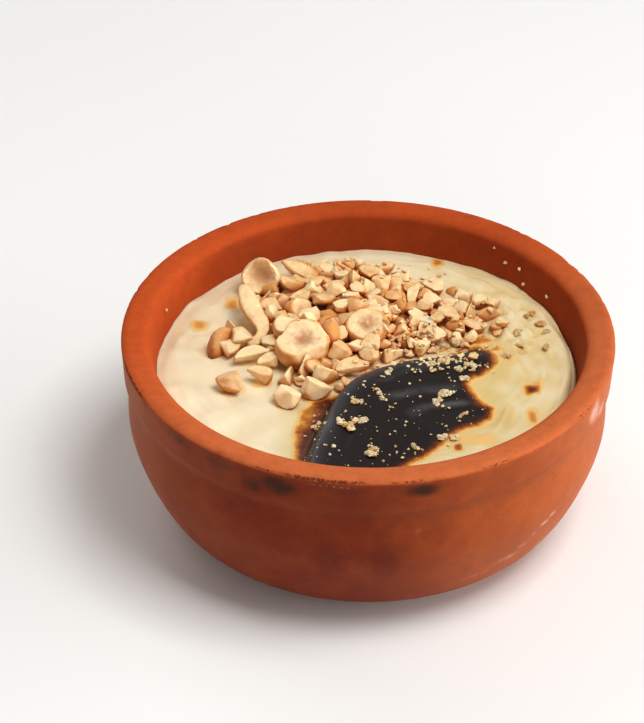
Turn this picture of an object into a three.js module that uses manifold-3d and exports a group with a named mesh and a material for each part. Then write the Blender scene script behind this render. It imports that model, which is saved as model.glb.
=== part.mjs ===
// Oven-baked rice pudding in an unglazed clay bowl, with a burnt blister of skin and a heap
// of chopped hazelnuts. Millimetres, +Z up, origin at the middle of the bowl's base, front at -Y.

import * as THREE from 'three';
import { mergeVertices } from 'three/addons/utils/BufferGeometryUtils.js';
import Module from 'manifold-3d';

const wasm = await Module();
wasm.setup();

// Driving dimensions of the bowl
const RIM_RADIUS = 60;
const BOWL_HEIGHT = 50;
const BASE_RADIUS = 41.8;
const BELLY_RADIUS = 59.1;
const BAND_HEIGHT = 9.5; // plain band under the rim
const BAND_TAPER = 0.3; // how far the band narrows towards its bottom
const GROOVE_DEPTH = 0.5; // how far the groove under the band lies inside the belly
const RIM_WIDTH = 6.8; // top of the rim, from outside to inside
const RIM_FALL = 0.3; // how far the top falls towards the inside
const RIM_ROUND = 1.4; // rounding of the rim's edges
const FLOOR_THICKNESS = 7;
const SECTORS = 64; // sides of the round pieces
const FIT_GAP = 0.3; // between pieces that touch

// Driving dimensions of the pudding
const PUDDING_LEVEL = 39.5;
const PUDDING_RADIUS = 51.5; // at its level
const TOP_RINGS = 19; // rings of faces across its top
const WALL_PULL = 1.3; // how far the skin has shrunk from the wall at the right
const EDGE_DIP = 0.7; // rounding down of the skin at the wall
const EDGE_DIP_WIDTH = 3;
const WRINKLE_DEPTH = 0.35; // folds of skin along the wall at the right
const WRINKLE_SPACING = 5.2;
const WRINKLE_SLANT = 0.06; // how the folds drift from the wall's curve
const BLISTER_STEEP_RUN = 3.2; // width of the blister's steep side
const BLISTER_GENTLE_RUN = 25; // width of its long slope towards the front right

// Line of the blister's crest, from the front wall to its tip: x, y and rise over the level
const BLISTER_CREST = [
  [-14, -52, 2.4],
  [-10, -33, 4.2],
  [-3.6, -14.8, 4.6],
  [7.4, -6.4, 4.2],
  [18, -2.4, 3.2],
  [28, 3.5, 1],
];

// Driving dimensions of the heap of nuts
const HEAP_CENTRE = [-8, 11];
const HEAP_RISE = 4.3; // height of the bed of crumbs at its middle
const HEAP_EDGE = 0.5; // and at its edge
const HEAP_BUMP = 0.5; // unevenness of the bed
const HEAP_SECTORS = 32;
const HEAP_RINGS = 6;
const FILL_COUNT = 84; // pieces strewn over the bed between the large ones
const FILL_LARGE = 7; // length of such a piece at the middle
const FILL_SMALL = 3.4; // and at the edge
const RANDOM_SEED = 20;

// Outline of the heap, seen from above
const HEAP_OUTLINE = [
  [-41, 4], [-37, 20], [-29, 37], [-14, 43.5], [2, 41], [20, 33], [36, 22], [35, 14.5],
  [23, 8], [10, 1.5], [-2, -7], [-9, -18], [-20, -21.5], [-35, -15.5],
];

// Large pieces of nut: form, x, y, height of the middle over the pudding, length, width,
// thickness, turn about Z and lean towards the front in degrees
const LARGE_NUTS = [
  ['slice', -15.8, -0.6, 5.4, 14.4, 12.4, 5.5, 8, 20],
  ['slice', -0.2, 7.2, 5.3, 11, 10.4, 4.6, 30, 22],
  ['shell', -27.4, 31.5, 3.8, 10.5, 9.5, 8, -20, 55],
  ['curl', -29, 12, 4.6, 20, 3.6, 2.4, -72, 16],
  ['wedge', -37, 3.6, 2.6, 9, 5.2, 4.6, 70, 16],
  ['chunk', -31.4, 5.4, 3, 6.6, 6, 5.4, 15, 10],
  ['sliver', -28.4, -1.4, 2.7, 9.4, 3.4, 2.6, 22, 18],
  ['chunk', -33, -12.6, 2.3, 6.8, 6, 5, -10, 12],
  ['sliver', -25.8, -9.6, 2.3, 6.4, 3.6, 3.6, 4, 20],
  ['half', -17.2, 15.4, 4.4, 8.8, 8, 5.4, -10, 12],
  ['half', -10.8, 12.8, 4.2, 8.4, 6.4, 4.4, -25, 14],
  ['chunk', -18.8, -17.6, 2.1, 6, 6.4, 4.6, 70, 12],
  ['chunk', -12.4, -14.4, 2.7, 7.6, 6.2, 5.6, 30, 18],
  ['wedge', -19.4, -9, 2.4, 5.6, 5, 4.4, 120, 20],
  ['wedge', -10.4, -8.8, 2.7, 6.6, 5.2, 4.4, 40, 25],
  ['wedge', -7, 0, 3.8, 7.4, 6.2, 4, 15, 28],
  ['sliver', -18, 34.5, 3.2, 11, 5, 2.8, -18, 25],
  ['wedge', -11.6, 27, 4.2, 6.8, 6, 4.6, -40, 20],
  ['half', -6, 28, 3.9, 7, 6.2, 5, 20, 12],
  ['chunk', -12.6, 40.5, 1.7, 5.4, 4.6, 4, 0, 10],
  ['chunk', -0.4, 36.8, 1.8, 5, 4.4, 4, 50, 12],
  ['sliver', 2.8, 20, 3.9, 7.4, 2.8, 2.4, -28, 30],
  ['sliver', 11.4, 24, 2.9, 8.4, 3.2, 3.4, 84, 20],
  ['sliver', 13.4, 15, 2.7, 7.8, 2.8, 2.6, -30, 25],
  ['chunk', 9.2, 9.4, 2.9, 6.4, 5.2, 5, 75, 20],
  ['wedge', 18.2, 22.4, 2.5, 7.4, 5, 4.4, -15, 22],
  ['sliver', 17, 30.5, 1.8, 6.2, 4, 2.6, 10, 20],
  ['wedge', 30.4, 19.6, 1.6, 7, 4.4, 3.4, 20, 15],
  ['sliver', 26.4, 13.8, 1.3, 6.4, 3.4, 2, -8, 15],
];

// Flakes and crumbs on the skin, away from the heap: x, y, length, width, turn in degrees
const FLAKES = [
  [-4.9, -30.9, 5, 2.6, -30], [-1.4, -28.9, 3.4, 2.4, 35], [19.4, -29.8, 5.4, 2.4, 4],
  [1.9, -38.6, 4, 2.4, 60], [3, -18.2, 4.4, 1.6, -60], [5.4, -10, 3.4, 1.6, 75],
  [19, -15.3, 2.8, 2.2, 10], [17, -18, 2.2, 1.8, 50], [-2.2, -22.3, 3.4, 1.8, 25],
  [23.1, -21.6, 4.8, 1.4, 50], [11.6, -34.2, 2.6, 1.6, -20], [23.5, -9.5, 2.4, 1.8, 0],
  [15.3, -5.6, 2.6, 2, 20], [19, -3.8, 3, 2.2, -15], [22.1, -6.3, 2.4, 1.8, 40],
  [25.1, -3.7, 2.6, 2, 0], [-11.6, -27.2, 2.4, 2, 30], [38.3, 13.5, 3, 2, 0],
  [41.2, 21.6, 3.4, 2, 60], [43.7, 17.2, 3.6, 2.2, -30], [45.8, 13.7, 2.8, 2, 20],
  [44.6, 7.1, 2.6, 1.8, 70], [37.9, 7, 2.6, 1.8, 0], [34.2, 2.4, 2.4, 1.8, 45],
];
const FLAKE_THICKNESS = 1.4;

// Small helpers: a seeded random draw from 0 to 1, an eased step, and solids of geometries
let randomState = RANDOM_SEED;
function random() {
  randomState = (randomState + 0x6d2b79f5) | 0;
  let t = Math.imul(randomState ^ (randomState >>> 15), 1 | randomState);
  t = (t + Math.imul(t ^ (t >>> 7), 61 | t)) ^ t;
  return ((t ^ (t >>> 14)) >>> 0) / 4294967296;
}

const ease = (t) => THREE.MathUtils.smoothstep(t, 0, 1);
const points2 = (pairs) => pairs.map(([x, y]) => new THREE.Vector2(x, y));
const points3 = (rows) => rows.map(([x, y, z = 0]) => new THREE.Vector3(x, y, z));

function welded(geometry) {
  const bare = geometry.clone();
  bare.deleteAttribute('normal');
  bare.deleteAttribute('uv');
  const merged = mergeVertices(bare, 1e-4);
  const index = merged.index.array;
  const kept = [];
  for (let i = 0; i < index.length; i += 3) {
    const [a, b, c] = [index[i], index[i + 1], index[i + 2]];
    if (a !== b && b !== c && c !== a) kept.push(a, b, c);
  }
  merged.setIndex(kept);
  return merged;
}

function solidOf(geometry) {
  const { attributes, index } = welded(geometry);
  return new wasm.Manifold(new wasm.Mesh({
    numProp: 3,
    vertProperties: new Float32Array(attributes.position.array),
    triVerts: new Uint32Array(index.array),
  }));
}

function geometryOf(solid) {
  const { vertProperties, triVerts } = solid.getMesh();
  const geometry = new THREE.BufferGeometry();
  geometry.setAttribute('position', new THREE.BufferAttribute(vertProperties, 3));
  geometry.setIndex(new THREE.BufferAttribute(triVerts, 1));
  geometry.computeVertexNormals();
  return geometry;
}

// The largest body of a solid, with loose scraps dropped and sealed hollows filled
function mainBody(solid) {
  return solid.decompose().reduce((best, body) => (body.volume() > best.volume() ? body : best));
}

function moveVertices(geometry, move) {
  const position = geometry.attributes.position;
  const point = new THREE.Vector3();
  for (let i = 0; i < position.count; i += 1) {
    move(point.fromBufferAttribute(position, i), i);
    position.setXYZ(i, point.x, point.y, point.z);
  }
  return geometry;
}

// Bowl: turned on a wheel, so one profile spun about Z
const innerWall = new THREE.SplineCurve(points2([
  [PUDDING_RADIUS + FIT_GAP, PUDDING_LEVEL - FIT_GAP],
  [PUDDING_RADIUS - 1.1, 28],
  [PUDDING_RADIUS - 5.5, 16],
  [PUDDING_RADIUS - 14, 9],
  [PUDDING_RADIUS - 26, FLOOR_THICKNESS],
])).getPoints(6);

function bowlGeometry() {
  const bandBottom = BOWL_HEIGHT - BAND_HEIGHT;
  const rimInside = RIM_RADIUS - RIM_WIDTH;
  const profile = new THREE.Path();
  profile.moveTo(0, 0);
  profile.lineTo(BASE_RADIUS, 0);
  profile.splineThru(points2([
    [BASE_RADIUS + 6.4, 4],
    [BASE_RADIUS + 10.7, 8.4],
    [BELLY_RADIUS - 2.8, 16.5],
    [BELLY_RADIUS, 27],
    [BELLY_RADIUS - GROOVE_DEPTH, bandBottom - 2.5],
  ]));
  profile.quadraticCurveTo(
    BELLY_RADIUS - GROOVE_DEPTH, bandBottom - 0.8,
    RIM_RADIUS - BAND_TAPER, bandBottom + 0.4,
  );
  profile.lineTo(RIM_RADIUS, BOWL_HEIGHT - RIM_ROUND);
  profile.quadraticCurveTo(RIM_RADIUS, BOWL_HEIGHT, RIM_RADIUS - RIM_ROUND * 1.6, BOWL_HEIGHT);
  profile.lineTo(rimInside + RIM_ROUND, BOWL_HEIGHT - RIM_FALL);
  profile.quadraticCurveTo(
    rimInside, BOWL_HEIGHT - 2 * RIM_FALL,
    rimInside - 0.2, BOWL_HEIGHT - RIM_FALL - 1.4 * RIM_ROUND,
  );
  innerWall.forEach((point) => profile.lineTo(point.x, point.y));
  profile.lineTo(0, FLOOR_THICKNESS);
  return new THREE.LatheGeometry(profile.getPoints(2), SECTORS).rotateX(Math.PI / 2);
}

// Pudding: fills the bowl to its level, under a skin with one tall blister and small folds
const crestLine = new THREE.CatmullRomCurve3(points3(BLISTER_CREST)).getPoints(80);

function blisterHeight(x, y) {
  let nearest = 0;
  let distance = Infinity;
  crestLine.forEach((point, i) => {
    const away = Math.hypot(x - point.x, y - point.y);
    if (away < distance) [nearest, distance] = [i, away];
  });
  const here = crestLine[nearest];
  const ahead = crestLine[Math.min(nearest + 1, crestLine.length - 1)];
  const behind = crestLine[Math.max(nearest - 1, 0)];
  const side = (ahead.x - behind.x) * (y - here.y) - (ahead.y - behind.y) * (x - here.x);
  const run = side > 0 ? BLISTER_STEEP_RUN : BLISTER_GENTLE_RUN;
  return here.z * (1 - ease(distance / run));
}

function skinHeight(x, y) {
  const radius = Math.hypot(x, y);
  const atRight = ease((x - 28) / 10);
  const phase = (2 * Math.PI * radius) / WRINKLE_SPACING + WRINKLE_SLANT * y;
  const folds = WRINKLE_DEPTH * atRight * Math.sin(phase);
  const dip = EDGE_DIP * ease((radius - PUDDING_RADIUS + EDGE_DIP_WIDTH) / EDGE_DIP_WIDTH);
  return blisterHeight(x, y) + folds - dip;
}

function puddingGeometry() {
  const below = innerWall.map((p) => new THREE.Vector2(p.x - FIT_GAP, p.y + FIT_GAP)).reverse();
  const profile = [new THREE.Vector2(0, FLOOR_THICKNESS + FIT_GAP), ...below];
  const edge = profile.length - 1;
  for (let ring = 1; ring <= TOP_RINGS; ring += 1) {
    profile.push(new THREE.Vector2(PUDDING_RADIUS * (1 - ring / TOP_RINGS), PUDDING_LEVEL));
  }
  const geometry = new THREE.LatheGeometry(profile, SECTORS).rotateX(Math.PI / 2);
  return moveVertices(geometry, (point, i) => {
    const row = i % profile.length;
    if (row < edge) return;
    point.z = PUDDING_LEVEL + skinHeight(point.x, point.y);
    if (row === edge) {
      const facesRight = Math.max(0, point.x / PUDDING_RADIUS) ** 6;
      const shrunk = 1 - (WALL_PULL * facesRight) / PUDDING_RADIUS;
      point.x *= shrunk;
      point.y *= shrunk;
    }
  });
}

// Nut pieces: each form is one unit across, then scaled, turned, leant and moved into place
const lathe = (pairs, sides) => new THREE.LatheGeometry(points2(pairs), sides).rotateX(Math.PI / 2);

const NUT_FORMS = {
  slice: () => lathe([[0, -0.5], [0.42, -0.5], [0.5, 0.4], [0, 0.5]], 8),
  half: () => lathe([[0, -0.5], [0.5, -0.4], [0.38, 0.3], [0, 0.5]], 6),
  shell: () => lathe([
    [0, -0.5], [0.38, -0.34], [0.5, 0.1], [0.44, 0.4], [0.34, 0.3], [0, -0.16],
  ], 8),
  chunk: () => new THREE.IcosahedronGeometry(0.58, 0),
  wedge: () => new THREE.CylinderGeometry(0.36, 0.56, 1, 4).rotateX(Math.PI / 2),
  sliver: () => moveVertices(new THREE.BoxGeometry(1, 1, 1, 2, 1, 1), (p) => {
    p.z += 0.25 - p.x * p.x;
    p.y *= 1 - 0.5 * Math.abs(p.x);
  }),
  curl: () => moveVertices(new THREE.BoxGeometry(1, 1, 1, 6, 1, 1), (p) => {
    p.y += 0.3 - 22 * Math.max(0, p.x - 0.25) ** 2;
  }),
};
const UNEVENNESS = {
  slice: 0.03, half: 0.04, shell: 0.03, chunk: 0.09, wedge: 0.08, sliver: 0.06, curl: 0.03,
};

function nutGeometry(form, size, place, turn, lean) {
  const unit = moveVertices(welded(NUT_FORMS[form]()), (p) => {
    const strength = 2 * UNEVENNESS[form];
    p.x += strength * (random() - 0.5);
    p.y += strength * (random() - 0.5);
    p.z += strength * (random() - 0.5);
  });
  return unit
    .scale(...size)
    .rotateZ(THREE.MathUtils.degToRad(turn))
    .rotateX(THREE.MathUtils.degToRad(lean))
    .translate(...place);
}

// Heap: a low bed of crumbs with the pieces that show fused to it
const heapOutline = new THREE.CatmullRomCurve3(points3(HEAP_OUTLINE), true);

function heapPoint(share, reach) {
  const edge = heapOutline.getPoint(((share % 1) + 1) % 1);
  const [x, y] = HEAP_CENTRE;
  return [x + reach * (edge.x - x), y + reach * (edge.y - y)];
}

function bedHeight(reach) {
  return HEAP_EDGE + (HEAP_RISE - HEAP_EDGE) * (1 - reach ** 2);
}

function bedGeometry() {
  const profile = [new THREE.Vector2(0, -2), new THREE.Vector2(1, -2)];
  for (let ring = 0; ring <= HEAP_RINGS; ring += 1) {
    const reach = 1 - ring / HEAP_RINGS;
    profile.push(new THREE.Vector2(reach, bedHeight(reach)));
  }
  const bed = welded(new THREE.LatheGeometry(profile, HEAP_SECTORS));
  return moveVertices(bed, (p) => {
    const reach = Math.hypot(p.x, p.z);
    const [x, y] = heapPoint(Math.atan2(p.z, p.x) / (2 * Math.PI), reach);
    const bump = p.y > 0 ? HEAP_BUMP * (2 * random() - 1) : 0;
    p.set(x, y, PUDDING_LEVEL + p.y + bump);
  });
}

function fillNuts() {
  const forms = ['chunk', 'wedge', 'half', 'chunk', 'sliver'];
  const goldenShare = (3 - Math.sqrt(5)) / 2;
  const pieces = [];
  for (let i = 0; i < FILL_COUNT; i += 1) {
    const reach = 0.95 * Math.sqrt((i + 0.5) / FILL_COUNT);
    const [x, y] = heapPoint(i * goldenShare, reach);
    const length = THREE.MathUtils.lerp(FILL_LARGE, FILL_SMALL, reach ** 2) * (0.8 + 0.4 * random());
    const covered = LARGE_NUTS.some(([, nx, ny, , nutLength, nutWidth]) =>
      Math.hypot(x - nx, y - ny) < 0.3 * (length + 0.5 * (nutLength + nutWidth)));
    const turn = 360 * random();
    const lean = 40 * (random() - 0.3);
    if (covered) continue;
    const lift = bedHeight(reach) + 0.12 * length;
    pieces.push(nutGeometry(
      forms[i % forms.length],
      [length, 0.8 * length, 0.66 * length],
      [x, y, PUDDING_LEVEL + lift],
      turn,
      lean,
    ));
  }
  return pieces;
}

function largeNuts() {
  return LARGE_NUTS.map(([form, x, y, lift, length, width, thickness, turn, lean]) =>
    nutGeometry(form, [length, width, thickness], [x, y, PUDDING_LEVEL + lift], turn, lean));
}

function flakes() {
  return FLAKES.map(([x, y, length, width, turn]) =>
    nutGeometry('wedge', [length, width, FLAKE_THICKNESS],
      [x, y, PUDDING_LEVEL + skinHeight(x, y) + 0.25 * FLAKE_THICKNESS], turn, 0));
}

const fused = (solid, pieces) => pieces.reduce((whole, piece) => whole.add(solidOf(piece)), solid);

const puddingSolid = mainBody(fused(solidOf(puddingGeometry()), flakes()));
const heapSolid = fused(solidOf(bedGeometry()), [...largeNuts(), ...fillNuts()]);
const heapOnSkin = mainBody(heapSolid.subtract(puddingSolid.translate([0, 0, FIT_GAP])));

// The whole: bowl, pudding and nuts, each a named mesh with its own finish
function piece(name, geometry, colour, roughness) {
  const material = new THREE.MeshStandardMaterial({ color: colour, roughness, metalness: 0 });
  const mesh = new THREE.Mesh(geometry, material);
  mesh.name = name;
  return mesh;
}

const ricePudding = new THREE.Group();
ricePudding.name = 'rice_pudding';
ricePudding.add(
  piece('bowl', welded(bowlGeometry()), '#b9582f', 0.75),
  piece('pudding', geometryOf(puddingSolid), '#f1d9a7', 0.45),
  piece('hazelnuts', geometryOf(heapOnSkin), '#e6c48c', 0.6),
);

export default ricePudding;
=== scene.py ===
"""Oven-baked rice pudding in an unglazed clay bowl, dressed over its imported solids.

Lengths that start as millimetres are multiplied by MM. The front of the object is at -Y.
"""

import math

import bpy
import numpy as np
from mathutils import Matrix, Vector, noise


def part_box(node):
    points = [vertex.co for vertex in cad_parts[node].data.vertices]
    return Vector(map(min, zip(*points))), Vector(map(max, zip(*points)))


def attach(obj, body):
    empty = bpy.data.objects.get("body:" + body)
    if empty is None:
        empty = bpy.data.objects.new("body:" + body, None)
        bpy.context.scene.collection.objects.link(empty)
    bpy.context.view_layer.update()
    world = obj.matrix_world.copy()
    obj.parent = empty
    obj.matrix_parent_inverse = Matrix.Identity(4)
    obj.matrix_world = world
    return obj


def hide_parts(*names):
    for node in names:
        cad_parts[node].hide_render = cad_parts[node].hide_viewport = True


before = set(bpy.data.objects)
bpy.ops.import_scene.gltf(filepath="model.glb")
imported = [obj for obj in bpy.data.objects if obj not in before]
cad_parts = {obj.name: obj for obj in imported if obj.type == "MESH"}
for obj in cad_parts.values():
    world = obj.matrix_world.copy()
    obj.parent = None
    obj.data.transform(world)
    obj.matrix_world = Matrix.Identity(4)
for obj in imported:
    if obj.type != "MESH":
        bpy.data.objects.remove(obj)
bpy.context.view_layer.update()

bl_info = {
    "name": "Baked Rice Pudding",
    "version": (1, 0, 0),
    "blender": (4, 5, 0),
    "location": "3D View > Sidebar > Rice Pudding",
    "description": "Models a baked rice pudding with chopped hazelnuts in its clay bowl",
    "category": "Add Mesh",
}

MM = 0.001
BOWL_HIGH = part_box("bowl")[1]

# Bowl, in millimetres: knots of the outer wall as (radius, height), foot to groove
WALL_KNOTS = [(41.8, 0), (48.2, 4), (52.5, 8.4), (56.3, 16.5), (59.1, 27), (58.6, 38)]
INNER_KNOTS = [(51.8, 39.2), (50.4, 28), (46, 16), (37.5, 9), (25.5, 7)]
BAND_BOTTOM = 40.5
RIM_INSIDE = 53.2
RIM_ROUND = 1.2
RIM_EASE = 2.6        # how far the inner corner of the rim is rounded over

# Marks on the outer wall: degrees round from +X, height, half width, half height, strength
SOOT_MARKS = [
    (-109, 45.6, 8, 4.8, 1.0), (-115, 44, 6, 4.6, 0.7), (-124, 46.4, 9, 4.4, 0.6), (-136, 47, 10, 4, 0.5),
    (-78, 46.6, 8, 3.4, 0.95), (-94, 47, 10, 3, 0.5), (-99, 43, 8, 3.4, 0.35),
]
LIME_MARKS = [
    (-27, 45.6, 6, 6, 1.0), (-22, 43, 4, 4.4, 0.8), (-41, 24.4, 2.6, 1.5, 1.0), (-43.5, 22.4, 2.8, 1.5, 1.0),
    (-46, 20.2, 2.8, 1.5, 0.9), (-49, 18, 4, 1.6, 0.6), (-53, 15.4, 10, 2.4, 0.6), (-61, 13, 10, 2, 0.45),
    (-38, 12, 14, 4, 0.4), (-137, 23.4, 1.4, 1.3, 0.9), (-150, 33, 1.2, 1.3, 0.6), (-78, 34, 3.4, 5, 0.3),
]
# Darker patches, mostly on the outer front
DARK_PATCHES = [
    (-99, 25, 9, 13, 0.8), (-86, 27, 8, 14, 0.95), (-73, 33, 8, 8, 0.6), (-112, 30, 12, 9, 0.3),
    (-90, 44, 20, 4.4, 0.4),
]
# Painted shade darkens the outside away from the lights: its middle in degrees, how far round it reaches
SHADED_SIDE = -108
SHADED_REACH = 88

# Pudding, in millimetres
LEVEL = 39.5
EDGE_RADIUS = 51.5
SKIN_REACH = 52        # just into the wall, so that no gap shows
WALL_PULL = 1.3
BLISTER_STEEP_RUN = 3.2
BLISTER_GENTLE_RUN = 25
BROWN_DEPTH = 1.0
UNBURNT = -50        # depth of burn where there is none at all
BLISTER_CREST = [
    (-14, -52, 2.4), (-10, -33, 4.2), (-3.6, -14.8, 4.6), (7.4, -6.4, 4.2), (18, -2.4, 3.2), (28, 3.5, 1),
]
BURN_OUTLINE = [
    (-15, -49), (-16.2, -38), (-16.9, -30), (-16, -22), (-12, -15.6), (-6, -14), (0, -9.5), (8, -4),
    (18, 1), (25, 6.6), (28.4, 7.6), (31.6, 2.4), (32.4, -1.2), (29.5, -5.9), (26, -9.4), (25, -11.2),
    (27.7, -16.3), (30.7, -18.4), (29.8, -22.8), (26.9, -25.6), (22.5, -27.4), (19.4, -31.2), (16, -35.5),
    (12.1, -39.4), (7, -45), (3, -49.6),
]
# Browned spots on the skin: x, y, half width, half height, strength
TOAST_SPOTS = [
    (40, -10.7, 2.3, 2.4, 0.56), (41, -9, 2.2, 2.6, 0.3), (39.6, -21.4, 1.7, 3.2, 0.36),
    (21.6, -33.4, 1.4, 1.9, 0.5), (18.2, 45.2, 1.9, 3.2, 0.38), (-42.4, 15, 2.8, 2.4, 0.34),
    (-34.8, 24.6, 2.2, 3.6, 0.34), (28.4, 9.6, 4.4, 2, 0.4), (31.6, 4.6, 2.4, 2.2, 0.36),
    (26, -30.6, 6.5, 2.8, 0.24), (33, -20, 3, 6, 0.14), (34.5, 1, 4, 3, 0.2),
]

# Heap of nuts, in millimetres
HEAP_CENTRE = (-8, 11)
HEAP_RISE = 4.3
HEAP_EDGE = 0.5
# The bed of crumbs reaches less far than the single pieces at the left
BED_OUTLINE = [
    (-30, 8), (-32, 18), (-27, 33), (-14, 43), (2, 41), (20, 33), (35, 22), (34, 14), (23, 7.5), (10, 1),
    (-1, -7), (-8, -15), (-16, -12), (-24, -7), (-29, -1),
]
BED_SUNK = 2.4
FILL_OVER = 1.3        # how far the strewn pieces rise over the heap's form
GOLDEN_SHARE = (3 - math.sqrt(5)) / 2
# The long curl of nut, seen from above: its middle line and its width along it
CURL_LINE = [(-10.6, 0.6), (-5, 0.4), (0.2, 0.9), (4.4, 1.7), (7.2, 1.1), (9.4, -0.9), (10.6, -3.2)]
CURL_WIDTH = [2.6, 5, 4.4, 3.4, 3.2, 3, 2]

# Large pieces of nut: form, x, y, height of the middle over the pudding, length, width,
# thickness, turn about Z and lean to the front in degrees, share of brown skin left on
LARGE_NUTS = [
    ("slice", -15.8, -0.6, 5.4, 14.4, 12.4, 5.5, 8, 20, 0),
    ("nub_slice", -0.2, 7.2, 5.3, 11, 10.4, 4.6, 30, 22, 0),
    ("shell", -27.4, 31.5, 3.8, 10.5, 9.5, 8, -20, 55, 0),
    ("curl", -29, 12, 4.6, 20, 7.4, 2.4, -72, 16, 0),
    ("wedge", -37, 3.6, 2.6, 9, 5.2, 4.6, 70, 16, 0.9),
    ("chunk", -31.4, 5.4, 3, 6.6, 6, 5.4, 15, 10, 0.4),
    ("sliver", -28.4, -1.4, 2.7, 9.4, 3.4, 2.6, 22, 18, 0),
    ("chunk", -33, -12.6, 2.3, 6.8, 6, 5, -10, 12, 0.9),
    ("sliver", -25.8, -9.6, 2.3, 6.4, 3.6, 3.6, 4, 20, 0),
    ("half", -17.2, 15.4, 4.4, 8.8, 8, 5.4, -10, 12, 0),
    ("half", -10.8, 12.8, 4.2, 8.4, 6.4, 4.4, -25, 14, 0),
    ("chunk", -18.8, -17.6, 2.1, 6, 6.4, 4.6, 70, 12, 0.1),
    ("chunk", -12.4, -14.4, 2.7, 7.6, 6.2, 5.6, 30, 18, 0),
    ("wedge", -19.4, -9, 2.4, 5.6, 5, 4.4, 120, 20, 1),
    ("wedge", -10.4, -8.8, 2.7, 6.6, 5.2, 4.4, 40, 25, 0),
    ("wedge", -7, 0, 3.8, 7.4, 6.2, 4, 15, 28, 0),
    ("sliver", -18, 34.5, 3.2, 11, 5, 2.8, -18, 25, 0.2),
    ("wedge", -11.6, 27, 4.2, 6.8, 6, 4.6, -40, 20, 0),
    ("half", -6, 28, 3.9, 7, 6.2, 5, 20, 12, 0.2),
    ("chunk", -12.6, 40.5, 1.7, 5.4, 4.6, 4, 0, 10, 0),
    ("chunk", -0.4, 36.8, 1.8, 5, 4.4, 4, 50, 12, 0.7),
    ("sliver", 2.8, 20, 3.9, 7.4, 2.8, 2.4, -28, 30, 0),
    ("sliver", 11.4, 24, 2.9, 8.4, 3.2, 3.4, 84, 20, 0),
    ("sliver", 13.4, 15, 2.7, 7.8, 2.8, 2.6, -30, 25, 0),
    ("chunk", 9.2, 9.4, 2.9, 6.4, 5.2, 5, 75, 20, 0.5),
    ("wedge", 18.2, 22.4, 2.5, 7.4, 5, 4.4, -15, 22, 0.3),
    ("sliver", 17, 30.5, 1.8, 6.2, 4, 2.6, 10, 20, 0),
    ("wedge", 30.4, 19.6, 1.6, 7, 4.4, 3.4, 20, 15, 0.3),
    ("sliver", 26.4, 13.8, 1.3, 6.4, 3.4, 2, -8, 15, 0),
]

# Smaller pieces between them, in the same order
SMALL_NUTS = [
    ("half", -23.4, 14, 4.2, 7, 5.6, 4.8, 30, 12, 0), ("chunk", -33.4, 2.4, 2.2, 5.2, 4.6, 3.8, 40, 10, 0.3),
    ("wedge", -33.4, 10, 2.6, 5, 4.4, 4, 0, 10, 0.7), ("sliver", -24.2, -4.4, 2.6, 6, 3.6, 2.6, 50, 15, 0),
    ("wedge", -24.4, 25, 4, 6, 4.2, 3.4, -20, 15, 0), ("chunk", -23.6, 20.6, 4.4, 5.4, 4.6, 4, 60, 10, 0),
    ("chunk", 6.8, 27.2, 3.4, 6, 7.6, 4, 10, 20, 0), ("chunk", 0.8, -1.6, 3, 5, 5, 4, 25, 15, 0),
    ("wedge", 6, 0.8, 2.6, 5.4, 5, 4, 70, 15, 0), ("sliver", -4, -6.2, 2.8, 8.6, 4, 3, 20, 20, 0),
    ("chunk", 16, 8.4, 2.4, 6, 5, 4, 35, 15, 0), ("wedge", 22, 13, 2, 6, 4.4, 3.6, -20, 12, 0),
    ("chunk", 24, 21, 2, 6, 5, 4, 15, 14, 0), ("sliver", 20.6, 17, 2.6, 7, 4, 3, 160, 10, 0),
    ("chunk", 24.6, 27, 1.6, 5, 4.4, 3.6, 80, 10, 0), ("wedge", 9, 33.4, 2.2, 5.6, 4.6, 4, 30, 15, 0),
]

# Flakes on the skin, away from the heap: x, y, length, width, turn in degrees
FLAKES = [
    (-4.9, -30.9, 5, 2.6, -30), (-1.4, -28.9, 3.4, 2.4, 35), (19.4, -29.8, 5.4, 2.4, 4),
    (1.9, -38.6, 4, 2.4, 60), (3, -18.2, 4.4, 1.6, -60), (5.4, -10, 3.4, 1.6, 75),
    (19, -15.3, 2.8, 2.2, 10), (17, -18, 2.2, 1.8, 50), (-2.2, -22.3, 3.4, 1.8, 25),
    (23.1, -21.6, 4.8, 1.4, 50), (11.6, -34.2, 2.6, 1.6, -20), (23.5, -9.5, 2.4, 1.8, 0),
    (15.3, -5.6, 2.6, 2, 20), (19, -3.8, 3, 2.2, -15), (22.1, -6.3, 2.4, 1.8, 40),
    (25.1, -3.7, 2.6, 2, 0), (-11.6, -27.2, 2.4, 2, 30), (38.3, 13.5, 3, 2, 0),
    (41.2, 21.6, 3.4, 2, 60), (43.7, 17.2, 3.6, 2.2, -30), (45.8, 13.7, 2.8, 2, 20),
    (44.6, 7.1, 2.6, 1.8, 70), (37.9, 7, 2.6, 1.8, 0), (34.2, 2.4, 2.4, 1.8, 45),
]
FLAKE_THICKNESS = 1.4
# Crumbs that fell beside the heap: x, y, spread in x and y, how many, smallest and largest
CRUMB_ZONES = [
    (18, 4.6, 6, 2.4, 54, 1, 3), (20.5, -3.4, 4.5, 1.4, 44, 0.5, 1.7),
    (7, -6, 5, 1.2, 30, 0.6, 1.6), (14, -1, 5, 1.3, 34, 0.6, 1.7), (8, 41, 9, 2, 20, 0.6, 2),
    (-10, -27, 2.4, 6, 8, 0.4, 1.2),
]
# Crumbs stuck to the back wall: degrees round from +X, height
WALL_CRUMBS = [(51.7, 46.8), (47.1, 44), (41.8, 44.5), (39.4, 41.2), (29, 42.6), (165, 44.5)]

# Steps round the spun pieces, fine enough for a smooth rim and sharp wrinkles
BOWL_STEPS = 448
PUDDING_STEPS = 384
BED_STEPS = 240

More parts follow.
